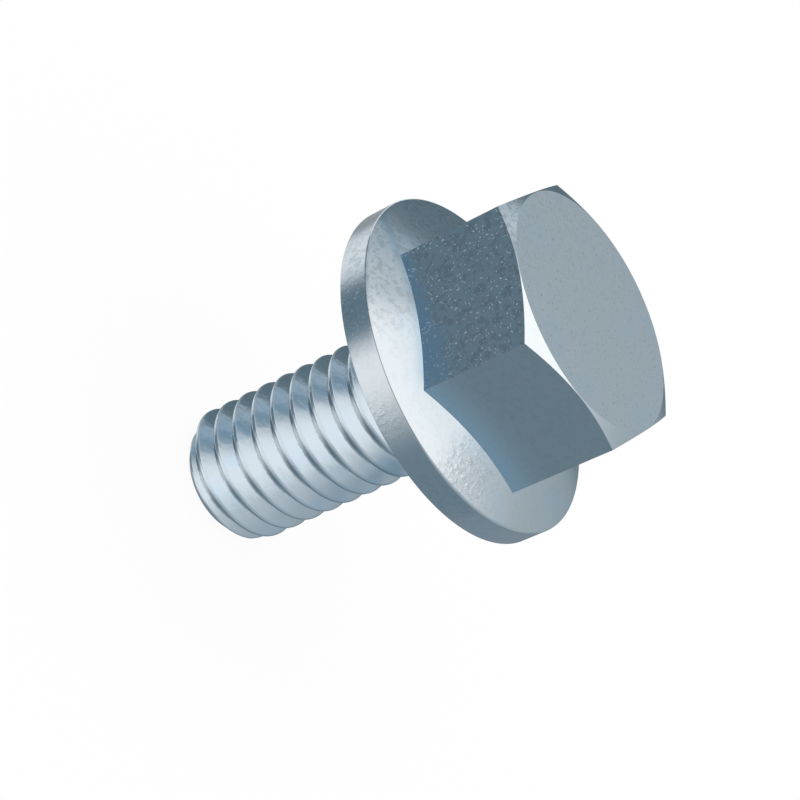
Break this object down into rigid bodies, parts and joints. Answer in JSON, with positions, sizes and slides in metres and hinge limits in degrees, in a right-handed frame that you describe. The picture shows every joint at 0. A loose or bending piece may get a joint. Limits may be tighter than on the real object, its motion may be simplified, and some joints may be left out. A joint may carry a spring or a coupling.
{
  "type": "hex flange bolt",
  "caption": "Short metric hexagon bolt with a wide conical flange forged under the head and a thread that runs up to the flange.",
  "frame": {"origin": "centre of the flat bearing face under the flange, on the thread's axis", "axes": "+Z along the bolt from its threaded end to the top of the head; two corners of the hexagon lie on the Y axis and two flats face along X"},
  "size_m": [0.0142, 0.0142, 0.0185],
  "materials": {
    "zinc_plate": "bright blue-white zinc plate over steel, satin, with fine speckle"
  },
  "bodies": {
    "root": {"flange_bolt": "zinc_plate"}
  },
  "joints": []
}
